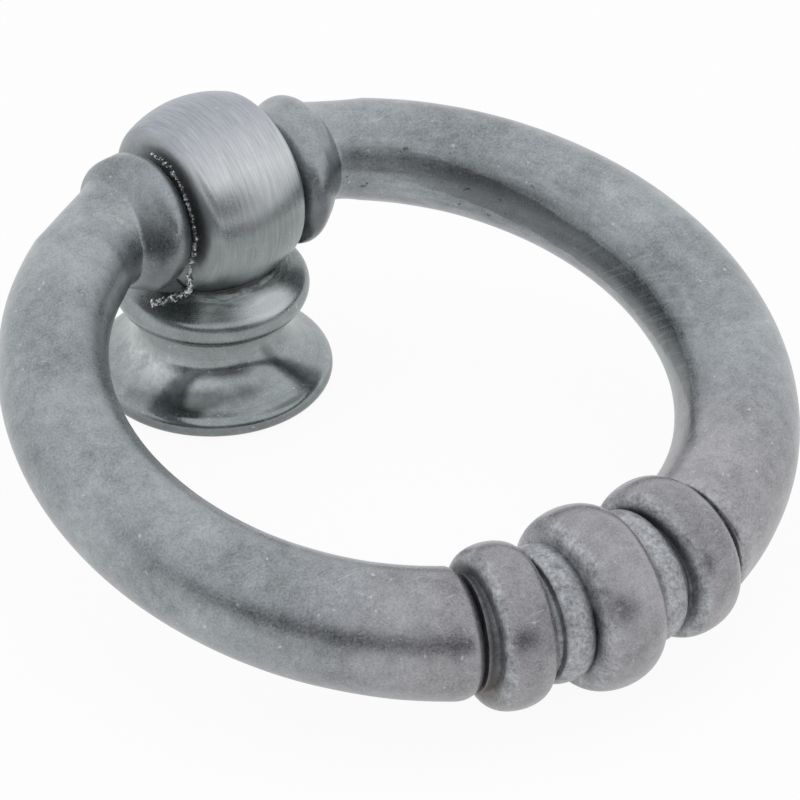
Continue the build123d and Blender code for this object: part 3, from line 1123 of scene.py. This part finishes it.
# Painted shade on the flare under the barrel, mottled by noise.
shade_under_barrel = ramp(noise(place, 420.0, 4.0, 0.6), 0.35, 0.65, 0.15, 0.6)
colour = mix(flared * shade_under_barrel, colour, (0.1, 0.108, 0.105, 1))
smears = ramp(noise(xyz(bearing * 2.2, height * 4200.0), 1.0), 0.47, 0.57) * near(height, 0.0092, 0.0013)
colour = mix(smears * flared * 0.75, colour, (0.03, 0.032, 0.032, 1))
# A painted highlight on the front of the collar, near its top.
collar_highlight = near(height, 0.0082, 0.0007) * near(bearing, -1.5, 0.6) * lathe
colour = mix(ramp(collar_highlight, 0.1, 0.5) * 0.6, colour, (0.72, 0.75, 0.75, 1))
# Painted shade in the corner between the barrel and the flare.
crevice_shade = ramp(crevice + ramp(noise(place, 900.0), 0.3, 0.7, -0.2, 0.2), 0.3, 0.75)
colour = mix(crevice_shade * 0.85, colour, (0.025, 0.026, 0.025, 1))
# Painted shade: the foot's rim darkens towards its bottom edge, by the table.
colour = mix(ramp(height, 0.0009, 0.0012, 0.35, 0.0), colour, (0.1, 0.105, 0.105, 1))
above_neck = ramp(height, 0.0055, 0.0062) * lathe
polish = above_neck * 0.12 + ramp(lathe, 0.0, 1.0, 0.0, -0.16)
rough = coat["Roughness"] + polish + barrel_end * 0.15
finish_metal(metal, colour, rough, coat["Height"] * 0.6 + barrel * brush * 0.5, 0.25)
print("post material has", len(tree.nodes), "nodes")

# %% [markdown]
# The rub grains are torn metal with painted glints: bright and dark lie side by side on each grain. The pin is drawn
# steel with fine lines along it. It can be seen only in the narrow gaps between the barrel and the knuckles, so it
# keeps its CAD mesh and just gets a finish.

# %% Materials of the rub grains and the pin
tree, metal, place = start_material(bare_metal)
metal["Metallic"].default_value = 0.45
# Painted glints: bright and dark patches side by side on each grain.
painted_glint = noise(place, 3600.0, 2.0, 0.7)
colour = mix(ramp(painted_glint, 0.42, 0.56), (0.12, 0.12, 0.125, 1), (1.0, 1.0, 1.0, 1))
finish_metal(metal, colour, ramp(painted_glint, 0.3, 0.7, 0.4, 0.18))

pin_steel = bpy.data.materials.new("pin_steel")
tree, metal, place = start_material(pin_steel)
drawn = noise(stretch(place, (300.0, 6000.0, 6000.0)), 1.0, 2.0, 0.6)
colour = mix(drawn, (0.5, 0.5, 0.5, 1), (0.68, 0.68, 0.67, 1))
finish_metal(metal, colour, ramp(drawn, 0.3, 0.7, 0.22, 0.34))
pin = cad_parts["pivot_pin"]
pin.data.materials.clear()
pin.data.materials.append(pin_steel)
print("pin material has", len(tree.nodes), "nodes")

# %% [markdown]
# ## Hand the pieces over
#
# Each casting stands for its CAD node and rides on that node's body, so it moves when the ring swings. The rub grains
# ride on the post. The pin is the CAD node itself, so it needs nothing here.

# %% Hand the pieces over
for piece, node_name, slot_name in ((post, "post", "post_metal"), (ring, "ring", "ring_metal")):
    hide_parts(node_name)
    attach(piece, node_name)
    print(piece.name, "stands for", node_name)
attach(rub, "post")

# %% [markdown]
# ## Studio
#
# The knob stands on a white table in soft light. The world is white all round, apart from a darker opening behind the
# camera, which draws the soft dark lines along the bars. To the camera the floor is nearly white, with the knob's
# soft shadow on it. The camera's place was solved from the outline of the knob in the photo.

# %% Camera
UNIT = 0.788
AZIMUTH, ELEVATION, ROLL = math.radians(-38.71), math.radians(35.75), math.radians(0.45)
CAMERA_DISTANCE = 506.51
LOOK_RIGHT, LOOK_UP = 1.955, 1.1404
FOCAL_PIXELS, PICTURE_PIXELS = 6253.62, 800
SENSOR_WIDTH = 36
level_reach = math.cos(ELEVATION)
back = Vector((math.sin(AZIMUTH) * level_reach, -math.cos(AZIMUTH) * level_reach, math.sin(ELEVATION)))
right = Vector((math.cos(AZIMUTH), math.sin(AZIMUTH), 0))
up = back.cross(right)
rolled_right = right * math.cos(ROLL) + up * math.sin(ROLL)
rolled_up = up * math.cos(ROLL) - right * math.sin(ROLL)
aim = Vector((0, -22, 8))
stand = aim + back * CAMERA_DISTANCE
look = (stand - (aim + rolled_right * LOOK_RIGHT + rolled_up * LOOK_UP)).normalized()
x_axis = rolled_up.cross(look).normalized()
turned = Matrix((x_axis, look.cross(x_axis), look)).transposed().to_4x4()
lens = bpy.data.cameras.new("camera")
lens.sensor_width = SENSOR_WIDTH
lens.lens = FOCAL_PIXELS / PICTURE_PIXELS * SENSOR_WIDTH
lens.clip_start = 0.01
camera = loose_object("camera", lens)
camera.matrix_world = Matrix.Translation(stand * UNIT * MM) @ turned
bpy.context.scene.camera = camera
print("camera stands", [round(c / MM) for c in camera.location], "mm from the mount")

# %% World
world = bpy.data.worlds.new("studio")
bpy.context.scene.world = world
world.use_nodes = True
tree = world.node_tree
tree.nodes.clear()
way = read("Generated", tree, "ShaderNodeTexCoord")
to_camera = Vector((back.x, back.y, 0)).normalized()
facing = read("Value", tree, "ShaderNodeVectorMath", {0: way, 1: to_camera}, operation="DOT_PRODUCT")
rise = split(way)[2]
opening = ramp(facing, 0.35, 0.8) * (ramp(rise, -0.02, 0.08) * ramp(rise, 0.36, 0.6, 1.0, 0.0))
tint = mix(opening, (0.92, 0.93, 0.95, 1), (0.2, 0.2, 0.21, 1))
soft = add(tree, "ShaderNodeBackground", {"Color": tint, "Strength": 1.0})
add(tree, "ShaderNodeOutputWorld", {"Surface": soft})
print("world has", len(tree.nodes), "nodes")

# %% Floor
FLOOR_CORNERS = [(-3, -3, 0), (3, -3, 0), (3, 3, 0), (-3, 3, 0)]
FLOOR_GLOW, FLOOR_MIRRORED = 0.93, 0.6
floor_mesh = bpy.data.meshes.new("floor")
floor_mesh.from_pydata(FLOOR_CORNERS, [], [(0, 1, 2, 3)])
floor = loose_object("floor", floor_mesh)
paper = bpy.data.materials.new("white_table")
floor_mesh.materials.append(paper)
paper.use_nodes = True
tree = paper.node_tree
tree.nodes.clear()
lit = add(tree, "ShaderNodeBsdfDiffuse", {"Color": (0.9, 0.9, 0.9, 1)})
glow = add(tree, "ShaderNodeEmission", {"Color": (1, 1, 1, 1), "Strength": 1.0})
ray = {socket.name: Value(socket) for socket in add(tree, "ShaderNodeLightPath").outputs}
bounced = calc("MAXIMUM", ray["Is Glossy Ray"], ray["Is Transmission Ray"])
share = calc("MAXIMUM", ray["Is Camera Ray"] * FLOOR_GLOW, bounced * FLOOR_MIRRORED)
mixed = add(tree, "ShaderNodeMixShader", {0: share, 1: lit, 2: glow})
add(tree, "ShaderNodeOutputMaterial", {"Surface": mixed})
bpy.context.scene.view_settings.view_transform = "Standard"
print("floor material has", len(tree.nodes), "nodes")
